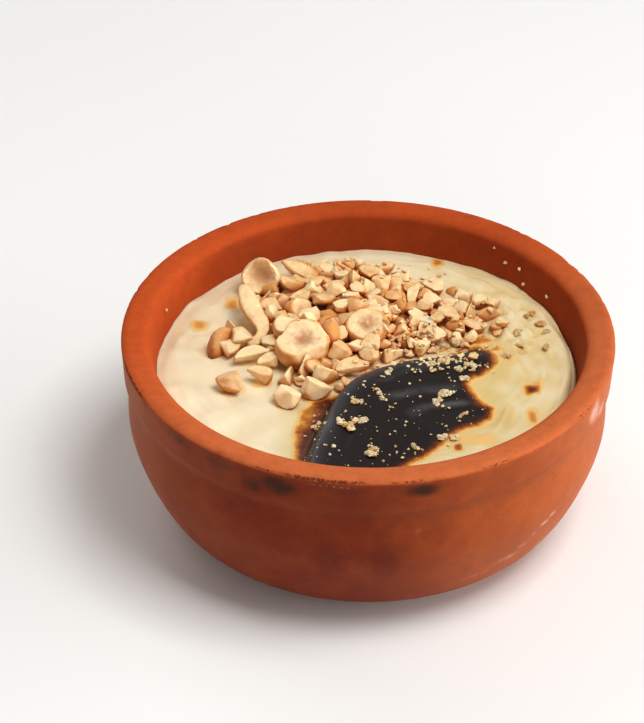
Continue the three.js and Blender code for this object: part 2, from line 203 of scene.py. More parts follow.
# Seeds of the knife strokes, of the small bits' shapes, of the heap and of the crumbs
FORM_SEED = 5
BIT_SEED = 9
NUT_SEED = 20
CRUMB_SEED = 31


def hex_linear(code):
    """Turns an sRGB hex colour into linear red, green and blue."""
    channels = [int(code[i:i + 2], 16) / 255 for i in (1, 3, 5)]
    return tuple(c / 12.92 if c <= 0.04045 else ((c + 0.055) / 1.055) ** 2.4 for c in channels)


def colour_property(name, code, description):
    """A colour that the sidebar shows, from its sRGB hex value."""
    return bpy.props.FloatVectorProperty(
        name=name, description=description, subtype="COLOR", default=hex_linear(code), min=0, max=1
    )


def length_property(name, metres, description):
    """A length that the sidebar shows."""
    return bpy.props.FloatProperty(
        name=name, description=description, default=metres, unit="LENGTH", precision=4
    )


def power_property(name, watts, description):
    """The power of a light that the sidebar shows."""
    return bpy.props.FloatProperty(name=name, description=description, default=watts, unit="POWER")


def count_property(name, count, description):
    """A number of pieces that the sidebar shows."""
    return bpy.props.IntProperty(name=name, description=description, default=count, min=0)


class BowlSettings(bpy.types.PropertyGroup):
    """Sizes and colours of the clay bowl."""

    rim_radius: length_property("Rim radius", BOWL_HIGH.x, "Outer radius of the rim")
    height: length_property("Height", BOWL_HIGH.z, "Height of the bowl")
    chip_depth: length_property("Chip depth", 0.5 * MM, "Depth of the chips along the rim's outer edge")
    clay: colour_property("Clay", "#BC5424", "Fired clay inside the bowl")
    # Paler clay on the rim's top: wear from rubbing, and painted light towards the front and right
    worn_and_lit_clay: colour_property("Worn clay", "#C66E40", "Paler clay where the rim is rubbed")
    # The outside's clay where no painted shade falls
    dry_clay: colour_property("Dry clay", "#BE6633", "Outside, away from the fire")
    # Darker clay of firing clouds, and painted shade on the outside's front left, away from the lights
    fired_clay: colour_property("Hot-fired clay", "#7E3013", "Outside, nearest the fire")
    # Darker patches on the outer front and the rim's pits, and painted shade on the inner wall at the right
    # and back
    dark_clay: colour_property("Damp clay", "#5E200C", "Stains that darken the outside")
    thrown: colour_property("Thrown light", "#8C7468", "Tint of the light that the clay throws on the floor")
    soot: colour_property("Soot", "#2E2012", "Oven soot under the rim")
    # Also the colour of a painted highlight along the groove at the front
    lime_and_highlight: colour_property("Lime", "#E6BFB0", "White bloom of lime on the clay")


class PuddingSettings(bpy.types.PropertyGroup):
    """Sizes and colours of the pudding and its skin."""

    wrinkle_depth: length_property("Wrinkle depth", 1.0 * MM, "Height of the folds of skin along the wall")
    cream: colour_property("Cream", "#F4E8C8", "Milk skin that has not browned")
    # Also painted shade in the hollows of the folds and of the slack at the left
    rich_and_shaded: colour_property("Rich cream", "#DDC587", "Thicker, yellower skin at the right")
    gilded: colour_property("Light golden", "#EFC67C", "Skin that has only just browned")
    # Painted sheen: the grey band along the blister's crest
    painted_sheen: colour_property("Grey film", "#57565C", "Dry film along the crest of the blister")
    golden: colour_property("Golden", "#CC8226", "Lightly browned skin")
    brown: colour_property("Brown", "#70300C", "Deeply browned skin")
    burnt: colour_property("Burnt", "#1E1614", "Burnt skin")


class NutSettings(bpy.types.PropertyGroup):
    """Sizes and colours of the chopped hazelnuts."""

    piece_count: count_property("Pieces", 620, "Smaller pieces in the heap")
    crumb_count: count_property("Crumbs", 170, "Crumbs on the heap")
    speck_count: count_property("Specks", 170, "Fine specks on the burnt skin")
    ivory: colour_property("Ivory", "#F9E2B6", "Freshly cut kernel")
    tan: colour_property("Tan", "#D89F5C", "Roasted outside of a kernel")
    skin: colour_property("Brown skin", "#A05A28", "Paper skin left on some pieces")
    heart: colour_property("Heart", "#BC8058", "Reddish brown middle of a kernel")
    # Painted shade: the tint of the gaps between the nuts
    gap_shade_tint: colour_property("Caramel", "#D68E38", "Tint of the oily gaps between the nuts")


class StageSettings(bpy.types.PropertyGroup):
    """Floor, light and camera."""

    floor: colour_property("Floor", "#F2F3F2", "Pale floor")
    key_power: power_property("Key light", 8.6, "Power of the large soft light")
    side_power: power_property("Side light", 7.8, "Power of the low light from the right")
    back_power: power_property("Back light", 2.4, "Power of the weak light from behind")
    front_power: power_property("Front light", 1.6, "Power of the weak light from the front")
    fill: bpy.props.FloatProperty(
        name="Fill", description="Strength of the light from all round", default=0.3, min=0
    )


# Small helpers for shapes

def ease(share):
    """Smooth step from 0 to 1."""
    share = np.clip(share, 0, 1)
    return share * share * (3 - 2 * share)


def spline(knots, per_span, closed=False):
    """Points of a smooth curve through its knots."""
    knots = np.array(knots, float)
    count = len(knots)
    spans = count if closed else count - 1
    made = []
    for i in range(spans):
        pick = [(i + k) % count if closed else min(max(i + k, 0), count - 1) for k in (-1, 0, 1, 2)]
        a, b, c, d = knots[pick]
        square = 2 * a - 5 * b + 4 * c - d
        cube = 3 * b - a - 3 * c + d
        for t in np.arange(per_span) / per_span:
            made.append(0.5 * (2 * b + (c - a) * t + square * t**2 + cube * t**3))
    if not closed:
        made.append(knots[-1])
    return np.array(made)


def arc_between(start, corner, end, steps):
    """Points of a rounded corner, without its start."""
    start, corner, end = (np.array(p, float) for p in (start, corner, end))
    shares = (np.arange(steps) + 1)[:, None] / steps
    return (1 - shares) ** 2 * start + 2 * shares * (1 - shares) * corner + shares**2 * end


def line_between(start, end, steps):
    """Points of a straight run, without its start."""
    shares = (np.arange(steps) + 1)[:, None] / steps
    return np.array(start, float) + shares * (np.array(end, float) - np.array(start, float))


def lumps(points, size, seed=0.0):
    """Smooth unevenness from about -1 to 1, with lumps of the given size."""
    return np.array([noise.noise(Vector(p) / size + Vector((seed, 2 * seed, 0))) for p in points])


def outline_depth(x, y, outline):
    """How far each point lies inside a closed outline; negative outside."""
    ring = np.array(outline, float)
    ahead = np.roll(ring, -1, axis=0)
    nearest = np.full(len(x), np.inf)
    inside = np.zeros(len(x), bool)
    for (ax, ay), (bx, by) in zip(ring, ahead):
        run = (bx - ax) ** 2 + (by - ay) ** 2
        share = np.clip(((x - ax) * (bx - ax) + (y - ay) * (by - ay)) / run, 0, 1)
        nearest = np.minimum(nearest, np.hypot(x - ax - share * (bx - ax), y - ay - share * (by - ay)))
        if ay != by:
            crosses = (ay > y) != (by > y)
            inside ^= crosses & (x < ax + (y - ay) * (bx - ax) / (by - ay))
    return np.where(inside, nearest, -nearest)


def deselect():
    """Leaves nothing selected, so that an operator acts on the new piece alone."""
    if bpy.context.object and bpy.context.object.mode != "OBJECT":
        bpy.ops.object.mode_set(mode="OBJECT")
    bpy.ops.object.select_all(action="DESELECT")


def edit(piece):
    """Makes a piece the active one, in edit mode with all of it selected."""
    bpy.context.view_layer.objects.active = piece
    bpy.ops.object.mode_set(mode="EDIT")
    bpy.ops.mesh.select_all(action="SELECT")


def spun(name, profile, steps):
    """Draws a profile of (radius, height) as a line of vertices and spins it once round Z."""
    deselect()
    bpy.ops.mesh.primitive_plane_add(size=1)
    piece = bpy.context.object
    piece.name = name
    edit(piece)
    bpy.ops.mesh.merge(type="CENTER")
    bpy.ops.transform.translate(value=(profile[0][0], 0, profile[0][1]))
    for (r0, z0), (r1, z1) in zip(profile, profile[1:]):
        bpy.ops.mesh.extrude_vertices_move(TRANSFORM_OT_translate={"value": (r1 - r0, 0, z1 - z0)})
    bpy.ops.mesh.select_all(action="SELECT")
    bpy.ops.mesh.spin(steps=steps, angle=2 * math.pi, center=(0, 0, 0), axis=(0, 0, 1))
    bpy.ops.mesh.select_all(action="SELECT")
    bpy.ops.mesh.remove_doubles(threshold=1e-6)
    bpy.ops.mesh.normals_make_consistent(inside=False)
    bpy.ops.object.mode_set(mode="OBJECT")
    return piece


def points_of(piece):
    """The vertices of a piece, one row each."""
    flat = np.empty(3 * len(piece.data.vertices))
    piece.data.vertices.foreach_get("co", flat)
    return flat.reshape(-1, 3)


def set_points(piece, points):
    """Moves the vertices of a piece."""
    piece.data.vertices.foreach_set("co", np.asarray(points, np.float32).ravel())
    piece.data.update()


def set_mark(piece, name, values):
    """Stores one number for each vertex, for the piece's material to read."""
    mark = piece.data.attributes.new(name, "FLOAT", "POINT")
    mark.data.foreach_set("value", np.asarray(values, np.float32))


def finish_piece(piece, material, slot, *nodes, smooth=True):
    """Gives a piece its material, its body and the solids that it stands for."""
    piece.data.materials.clear()
    piece.data.materials.append(material)
    piece.data.polygons.foreach_set("use_smooth", np.full(len(piece.data.polygons), smooth))
    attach(piece, "root")
    if nodes:
        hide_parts(*nodes)


# Materials

def add_node(tree, kind, inputs=None, stops=None, **settings):
    """Adds one node with its settings, then sets or links its inputs by name or number."""
    made = tree.nodes.new(kind)
    for name, value in settings.items():
        setattr(made, name, value)
    if stops:
        ramp = made.color_ramp
        while len(ramp.elements) < len(stops):
            ramp.elements.new(1)
        for element, (place, colour) in zip(ramp.elements, stops):
            element.position = place
            element.color = (*colour, 1)
    for name, value in (inputs or {}).items():
        if isinstance(value, bpy.types.NodeSocket):
            tree.links.new(value, made.inputs[name])
        else:
            made.inputs[name].default_value = value
    return made


def new_material(name, *marks):
    """A new material, with its tree, its shader, the place of each point and the piece's marks by name."""
    material = bpy.data.materials.new(name)
    material.use_nodes = True
    tree = material.node_tree
    place = add_node(tree, "ShaderNodeTexCoord").outputs["Object"]
    stored = {
        mark: add_node(tree, "ShaderNodeAttribute", attribute_name=mark).outputs["Fac"] for mark in marks
    }
    return material, tree, tree.nodes["Principled BSDF"], place, stored


def painted(tree, colour, *layers):
    """Lays paints over a colour in turn, each with its share, its colour and the way it blends."""
    for share, paint, blend in layers:
        colour = add_node(
            tree, "ShaderNodeMix", {0: share, 6: colour, 7: paint}, data_type="RGBA", blend_type=blend
        ).outputs[2]
    return colour


def grey(level):
    """A grey of the given level, for a ramp that is read as a number."""
    return (level, level, level)


def rgba(colour):
    """A linear colour with full alpha, for a node's colour input."""
    return (*colour, 1)


def per_mm(size):
    """Scale of a pattern whose features are that many millimetres wide."""
    return 1 / (size * MM)


def fired_clay(settings):
    """Unglazed terracotta, wheel-thrown and rubbed smooth on the outside.

    It shows soft firing clouds, fine grit, painted shade on the outside's front left and on the inner
    wall at the right and back, darker patches on the outer front, smudges of soot, streaks of lime
    with a painted highlight along the groove at the front, a rim top paler partly from rubbing and
    partly from painted light, and an outer rim edge worn into dark pits and pale flecks.
    """
    material, tree, shader, place, marks = new_material(
        "unglazed terracotta", "outside", "rubbed_and_lit", "side_shade", "dark_patches_and_shade", "soot", "lime_and_highlight", "pits", "flecks"
    )
    # Firing clouds, smudges and grit. Grit is drawn at 0.8 mm, coarser than the real grain, so that it shows
    clouds, smudge, grit = (
        add_node(
            tree, "ShaderNodeTexNoise",
            {"Vector": place, "Scale": per_mm(size), "Detail": detail, "Roughness": roughness},
        ).outputs["Fac"]
        for size, detail, roughness in ((17, 5.0, 0.6), (3.2, 6.0, 0.68), (0.8, 3.0, 0.75))
    )
    uneven = add_node(tree, "ShaderNodeMath", {0: clouds, 1: 0.9, 2: -0.45}, operation="MULTIPLY_ADD")
    # Painted shade on the outside's front left, broken up by firing clouds, darkens the outer clay
    side_shade = add_node(
        tree, "ShaderNodeMath", {0: marks["side_shade"], 1: uneven.outputs[0]}, operation="ADD", use_clamp=True
    )
    inside = painted(tree, rgba(settings.clay), (marks["rubbed_and_lit"], rgba(settings.worn_and_lit_clay), "MIX"))
    outside = painted(tree, rgba(settings.dry_clay), (side_shade.outputs[0], rgba(settings.fired_clay), "MIX"))
    mottle = add_node(
        tree, "ShaderNodeValToRGB", {0: smudge},
        stops=[(0.3, grey(0.86)), (0.5, grey(1.0)), (0.7, grey(1.1))],
    )
    specks = add_node(
        tree, "ShaderNodeValToRGB", {0: grit},
        stops=[(0.27, grey(0.6)), (0.38, grey(1.0)), (0.62, grey(1.0)), (0.76, grey(1.15))],
    )
    colour = painted(
        tree, inside, (marks["outside"], outside, "MIX"),
        (0.8, mottle.outputs[0], "MULTIPLY"), (0.7, specks.outputs[0], "MULTIPLY"),
    )
    # Each mark is a patch that a noise breaks up: paint, noise, where it starts and is full, and its cover
    for mark, paint, breaks, start, full, cover in (
        ("dark_patches_and_shade", settings.dark_clay, clouds, 0.05, 0.5, 0.45),
        ("soot", settings.soot, smudge, 0.06, 0.48, 0.85),
        ("lime_and_highlight", settings.lime_and_highlight, smudge, 0.1, 0.52, 0.6),
        ("pits", settings.dark_clay, grit, 0.38, 0.54, 0.8),
        ("flecks", settings.lime_and_highlight, grit, 0.3, 0.52, 0.45),
    ):
        broken = add_node(tree, "ShaderNodeMath", {0: breaks, 1: marks[mark]}, operation="MULTIPLY")
        amount = add_node(
            tree, "ShaderNodeMapRange", {0: broken.outputs[0], 1: start, 2: full, 3: 0.0, 4: cover},
            interpolation_type="SMOOTHSTEP",
        )
        colour = painted(tree, colour, (amount.outputs[0], rgba(paint), "MIX"))
    # Light that the clay throws on its surroundings is toned down, so that the floor stays pale
    thrown = add_node(tree, "ShaderNodeLightPath").outputs["Is Diffuse Ray"]
    muted = add_node(tree, "ShaderNodeMath", {0: thrown, 1: 0.2}, operation="MULTIPLY")
    colour = painted(tree, colour, (muted.outputs[0], rgba(settings.thrown), "MIX"))
    tree.links.new(colour, shader.inputs["Base Color"])
    sheen = add_node(tree, "ShaderNodeMapRange", {0: marks["outside"], 1: 0.0, 2: 1.0, 3: 0.72, 4: 0.4})
    rough = add_node(
        tree, "ShaderNodeMath", {0: smudge, 1: 0.2, 2: sheen.outputs[0]}, operation="MULTIPLY_ADD"
    )
    tree.links.new(rough.outputs[0], shader.inputs["Roughness"])
    shader.inputs["Specular IOR Level"].default_value = 0.14
    bump = add_node(tree, "ShaderNodeBump", {"Height": grit, "Strength": 0.3, "Distance": 0.2 * MM})
    tree.links.new(bump.outputs[0], shader.inputs["Normal"])
    return material


def milk_skin(settings):
    """Baked milk skin over rice pudding, set in a hot oven.

    It is creamy and slightly translucent, golden and then brown towards the burn, and where the
    oven caught it black with a dull sheen. A grey painted sheen lies along the blister's crest, and
    painted shade yellows the hollows of the folds and turns the skin golden round the large nuts.
    """
    material, tree, shader, place, marks = new_material(
        "baked milk skin", "burn_depth", "toast_and_shade", "rich_and_shaded", "painted_sheen"
    )
    ragged = add_node(
        tree, "ShaderNodeTexNoise",
        {"Vector": place, "Scale": per_mm(3.8), "Detail": 6.0, "Roughness": 0.64},
    )
    shifted = add_node(
        tree, "ShaderNodeMath", {0: ragged.outputs["Fac"], 1: 3.0, 2: marks["burn_depth"]},
        operation="MULTIPLY_ADD",
    )
    heat = add_node(tree, "ShaderNodeMapRange", {0: shifted.outputs[0], 1: 0.2, 2: 5.2, 3: 0.0, 4: 1.0})
    toast_and_shade = add_node(tree, "ShaderNodeMath", {0: marks["toast_and_shade"], 1: heat.outputs[0]}, operation="MAXIMUM")
    clouds = add_node(tree, "ShaderNodeTexNoise", {"Vector": place, "Scale": per_mm(9), "Detail": 3.0})
    thin, light = [0.93 * c for c in settings.cream], [min(1, 1.06 * c) for c in settings.cream]
    cream = add_node(
        tree, "ShaderNodeValToRGB", {0: clouds.outputs["Fac"]},
        stops=[(0.3, thin), (0.6, settings.cream), (0.75, light)],
    )
    charred = [0.5 * a + 0.15 * b for a, b in zip(settings.burnt, settings.brown)]
    browning = add_node(
        tree, "ShaderNodeValToRGB", {0: toast_and_shade.outputs[0]},
        stops=[
            (0.1, settings.rich_and_shaded), (0.24, settings.gilded), (0.38, settings.golden), (0.54, settings.brown),
            (0.74, charred), (0.9, settings.burnt),
        ],
    )
    browned_and_shaded = add_node(tree, "ShaderNodeMapRange", {0: toast_and_shade.outputs[0], 1: 0.08, 2: 0.2, 3: 0.0, 4: 1.0})
    # Painted sheen along the crest, broken up by clouds
    painted_sheen_share = add_node(
        tree, "ShaderNodeMath", {0: marks["painted_sheen"], 1: clouds.outputs["Fac"]}, operation="MULTIPLY"
    )
    colour = painted(
        tree, cream.outputs[0], (marks["rich_and_shaded"], rgba(settings.rich_and_shaded), "MIX"),
        (browned_and_shaded.outputs[0], browning.outputs[0], "MIX"), (painted_sheen_share.outputs[0], rgba(settings.painted_sheen), "MIX"),
    )
    tree.links.new(colour, shader.inputs["Base Color"])
    rough = add_node(tree, "ShaderNodeMapRange", {0: toast_and_shade.outputs[0], 1: 0.2, 2: 0.8, 3: 0.5, 4: 0.4})
    tree.links.new(rough.outputs[0], shader.inputs["Roughness"])
    soft = add_node(tree, "ShaderNodeMapRange", {0: toast_and_shade.outputs[0], 1: 0.1, 2: 0.5, 3: 0.25, 4: 0.0})
    tree.links.new(soft.outputs[0], shader.inputs["Subsurface Weight"])
    shader.inputs["Subsurface Radius"].default_value = (1.0, 0.7, 0.35)
    shader.inputs["Subsurface Scale"].default_value = 2.5 * MM
    grain = add_node(tree, "ShaderNodeTexNoise", {"Vector": place, "Scale": per_mm(1.6), "Detail": 3.0})
    bump = add_node(
        tree, "ShaderNodeBump", {"Height": grain.outputs["Fac"], "Strength": 0.18, "Distance": 0.3 * MM}
    )
    tree.links.new(bump.outputs[0], shader.inputs["Normal"])
    return material


def hazelnut(settings):
    """Roasted hazelnut kernel, chopped.

    Cut faces are ivory and slightly waxy, the round outside is tan, some pieces keep brown paper
    skin or the reddish heart of the kernel, and painted shade tints the hidden gaps golden brown.
    """
    material, tree, shader, place, marks = new_material(
        "roasted hazelnut", "tint", "outer", "heart", "skin"
    )
    blotch = add_node(
        tree, "ShaderNodeTexNoise", {"Vector": place, "Scale": per_mm(2.6), "Detail": 4.0, "Roughness": 0.6}
    ).outputs["Fac"]
    toned = add_node(
        tree, "ShaderNodeMath", {0: marks["outer"], 1: 0.55, 2: marks["tint"]}, operation="MULTIPLY_ADD"
    )
    roast = add_node(
        tree, "ShaderNodeMath", {0: blotch, 1: 1.1, 2: toned.outputs[0]}, operation="MULTIPLY_ADD"
    )
    tanned = add_node(
        tree, "ShaderNodeMapRange", {0: roast.outputs[0], 1: 0.4, 2: 1.35, 3: 0.0, 4: 1.0},
        interpolation_type="SMOOTHSTEP",
    )
    flaky = add_node(
        tree, "ShaderNodeMath", {0: blotch, 1: 1.1, 2: marks["skin"]}, operation="MULTIPLY_ADD"
    )
    papery = add_node(
        tree, "ShaderNodeMapRange", {0: flaky.outputs[0], 1: 1.0, 2: 1.7, 3: 0.0, 4: 0.9},
        interpolation_type="SMOOTHSTEP",
    )
    # Painted shade: the more hidden a point, the more the gap tint darkens it
    hidden = add_node(tree, "ShaderNodeAmbientOcclusion", {"Distance": 3.0 * MM}, samples=6)
    gap = add_node(
        tree, "ShaderNodeMapRange", {0: hidden.outputs["AO"], 1: 0.86, 2: 0.2, 3: 0.0, 4: 1.0},
        interpolation_type="SMOOTHSTEP",
    )
    colour = painted(
        tree, rgba(settings.ivory), (tanned.outputs[0], rgba(settings.tan), "MIX"),
        (marks["heart"], rgba(settings.heart), "MIX"), (papery.outputs[0], rgba(settings.skin), "MIX"),
        (gap.outputs[0], rgba(settings.gap_shade_tint), "MULTIPLY"),
    )
    tree.links.new(colour, shader.inputs["Base Color"])
    shader.inputs["Roughness"].default_value = 0.58
    shader.inputs["Specular IOR Level"].default_value = 0.3
    shader.inputs["Subsurface Weight"].default_value = 0.5
    shader.inputs["Subsurface Radius"].default_value = (1.0, 0.55, 0.22)
    shader.inputs["Subsurface Scale"].default_value = 1.4 * MM
    grain = add_node(tree, "ShaderNodeTexNoise", {"Vector": place, "Scale": per_mm(0.9), "Detail": 3.0})
    bump = add_node(
        tree, "ShaderNodeBump", {"Height": grain.outputs["Fac"], "Strength": 0.35, "Distance": 0.25 * MM}
    )
    tree.links.new(bump.outputs[0], shader.inputs["Normal"])
    return material


def pale_floor(settings):
    """Matt painted board, almost white, with the faintest unevenness."""
    material, tree, shader, place, _ = new_material("matt white board")
    cloud = add_node(tree, "ShaderNodeTexNoise", {"Vector": place, "Scale": per_mm(300), "Detail": 2.0})
    tone = add_node(
        tree, "ShaderNodeValToRGB", {0: cloud.outputs["Fac"]},
        stops=[(0.3, [0.97 * c for c in settings.floor]), (0.7, settings.floor)],
    )
    tree.links.new(tone.outputs[0], shader.inputs["Base Color"])
    shader.inputs["Roughness"].default_value = 0.7
    return material


# Bowl

def bowl_profile():
    """The bowl's section as (radius, height) in millimetres, from under the base to the inside floor."""
    rim, top = BOWL_HIGH.x / MM, BOWL_HIGH.z / MM
    groove = WALL_KNOTS[-1]
    band = (rim - 0.3, BAND_BOTTOM + 0.4)
    outer_edge = (rim, top - RIM_ROUND)
    flat_start = (rim - 1.6 * RIM_ROUND, top)
    flat_end = (RIM_INSIDE + RIM_EASE, top - 0.2)
    inner_edge = (RIM_INSIDE - 0.2, top - RIM_EASE)
    runs = [
        line_between((0, 0), WALL_KNOTS[0], 6),
        spline(WALL_KNOTS, 7)[1:],
        arc_between(groove, (groove[0], BAND_BOTTOM - 0.8), band, 6),
        line_between(band, outer_edge, 9),
        arc_between(outer_edge, (rim, top), flat_start, 8),
        line_between(flat_start, flat_end, 3),
        arc_between(flat_end, (RIM_INSIDE, top - 0.4), inner_edge, 8),
        line_between(inner_edge, INNER_KNOTS[0], 8),
        spline(INNER_KNOTS, 5)[1:],
        line_between(INNER_KNOTS[-1], (0, INNER_KNOTS[-1][1]), 4),
    ]
    return np.vstack([[(0, 0)], *runs])


def wall_marks(points, marks):
    """Strength of some marks on the outer wall at each point, in millimetres."""
    radius = np.hypot(points[:, 0], points[:, 1])
    degrees = np.degrees(np.arctan2(points[:, 1], points[:, 0]))
    strength = np.zeros(len(points))
    for at, height, half_width, half_height, amount in marks:
        along = np.radians((degrees - at + 180) % 360 - 180) * radius
        away = np.hypot(along / half_width, (points[:, 2] - height) / half_height)
        strength = np.maximum(strength, amount * (1 - ease(away)))
    return strength


class PUDDING_OT_bowl(bpy.types.Operator):
    """Spins the clay bowl, chips its rim and marks soot and lime on it."""

    bl_idname = "rice_pudding.bowl"
    bl_label = "Clay Bowl"

    def execute(self, context):
        settings = context.scene.pudding_bowl
        piece = spun("bowl_clay", bowl_profile() * MM, BOWL_STEPS)
        points = points_of(piece) / MM
        radius = np.maximum(np.hypot(points[:, 0], points[:, 1]), 1e-6)
        height = settings.height / MM
        rim = settings.rim_radius / MM
        degrees = np.degrees(np.arctan2(points[:, 1], points[:, 0]))
        inner_radius, inner_height = np.array([(RIM_INSIDE, height), *INNER_KNOTS, (0, 6.5)])[::-1].T
        hollow = np.interp(points[:, 2], inner_height, inner_radius)
        outside = ease((radius - hollow - 1) / 1.5 + (points[:, 2] < 5))
        outside *= ease((height - 0.6 - points[:, 2]) / 0.8)
        # The outer edge of the rim is worn and chipped
        edge = np.exp(-(((radius - rim + 0.3) / 0.7) ** 2) - (((points[:, 2] - height + 0.7) / 0.7) ** 2))
        worn = lumps(points, 4.0, 3) + 0.9 * lumps(points, 1.3, 5)
        chip = settings.chip_depth / MM * edge * ease((worn - 0.2) / 0.9)
        # Throwing rings and the slight wobble of a hand-turned wall
        wobble = 0.25 * lumps(points, 45, 7) * ease(points[:, 2] / 10)
        turned = 0.05 * lumps(points * (0.1, 0.1, 1.6), 4.5, 11)
        shift = (wobble + turned) * (points[:, 2] > 0.5) - chip
        points[:, :2] *= (1 + shift / radius)[:, None]
        points[:, 2] -= 0.6 * chip
        set_points(piece, points * MM)
        front = 0.5 - 0.5 * np.sin(np.radians(degrees - 30))
        turn_from_shaded_side = np.abs((degrees - SHADED_SIDE + 180) % 360 - 180)
        below = np.exp(-(((points[:, 2] - height + 1.7) / 0.6) ** 2)) * outside
        groove = np.exp(-(((points[:, 2] - BAND_BOTTOM - 0.3) / 0.3) ** 2)) * outside
        patchy = ease(0.5 + 1.2 * lumps(points, 16, 17))
        # Painted shade on the inner wall at the right and back, reaching a little onto the rim there
        shaded = ease(0.5 + 0.9 * np.cos(np.radians(degrees - 48))) * (1 - outside)
        shaded *= 0.4 + 0.6 * ease((height - 1 - points[:, 2]) / 2)
        set_mark(piece, "outside", outside)
        # The rim's top is paler towards the front and right: partly worn by rubbing, partly painted light
        set_mark(piece, "rubbed_and_lit", ease((points[:, 2] - height + 2.4) / 2) * ease(front * 1.5 - 0.3))
        # Painted shade: the outside darkens towards its front left, away from the lights
        set_mark(piece, "side_shade", 0.1 + 0.9 * (1 - ease(turn_from_shaded_side / SHADED_REACH)))
        # Darker patches outside, and the painted shade inside
        set_mark(piece, "dark_patches_and_shade", np.maximum(wall_marks(points, DARK_PATCHES) * outside, shaded))
        set_mark(piece, "soot", wall_marks(points, SOOT_MARKS) * outside)
        # Lime settles on the outer wall and over the rim, but not in the hollow.
        # The pale line along the groove at the front is a painted highlight.
        limed = np.maximum(outside, ease((radius - RIM_INSIDE) / RIM_EASE))
        lime_and_highlight = np.maximum(wall_marks(points, LIME_MARKS) * limed, 0.36 * groove * patchy * front)
        set_mark(piece, "lime_and_highlight", lime_and_highlight)
        set_mark(piece, "pits", edge * (0.55 + 0.7 * patchy))
        set_mark(piece, "flecks", below * (0.3 + 0.8 * patchy * front))
        finish_piece(piece, fired_clay(settings), "terracotta", "bowl")
        return {"FINISHED"}


# Pudding

CREST_LINE = spline(BLISTER_CREST, 24)


def crest_place(x, y):
    """Distance to the blister's crest, whether a point lies behind it, and the crest's rise there."""
    away = np.hypot(x[:, None] - CREST_LINE[:, 0], y[:, None] - CREST_LINE[:, 1])
    nearest = away.argmin(axis=1)
    here = CREST_LINE[nearest]
    last = len(CREST_LINE) - 1
    run = CREST_LINE[np.minimum(nearest + 1, last)] - CREST_LINE[np.maximum(nearest - 1, 0)]
    behind = run[:, 0] * (y - here[:, 1]) - run[:, 1] * (x - here[:, 0]) > 0
    return away[np.arange(len(x)), nearest], behind, here[:, 2]


def blister_height(x, y):
    """Height of the burnt blister of skin over the level, in millimetres."""
    distance, behind, rise = crest_place(x, y)
    return rise * (1 - ease(distance / np.where(behind, BLISTER_STEEP_RUN, BLISTER_GENTLE_RUN)))


def skin_height(x, y):
    """Height of the skin over the base, without its fine wrinkles, in millimetres."""
    x, y = np.atleast_1d(x).astype(float), np.atleast_1d(y).astype(float)
    radius = np.hypot(x, y)
    folds = 0.2 * ease((x - 28) / 10) * np.sin(2 * np.pi * radius / 5.2 + 0.06 * y)
    dip = 0.5 * ease((radius - EDGE_RADIUS + 3) / 3)
    return LEVEL + blister_height(x, y) + folds - dip


def pudding_profile():
    """The pudding's section as (radius, height) in millimetres, from its bottom to the middle of its top."""
    below = spline(INNER_KNOTS, 4)[::-1]
    floor = line_between((0, below[0][1]), below[0], 3)
    top = line_between((SKIN_REACH, LEVEL), (0, LEVEL), 104)
    return np.vstack([[(0, below[0][1])], floor[:-1], below[:-1], [(SKIN_REACH, LEVEL)], top])


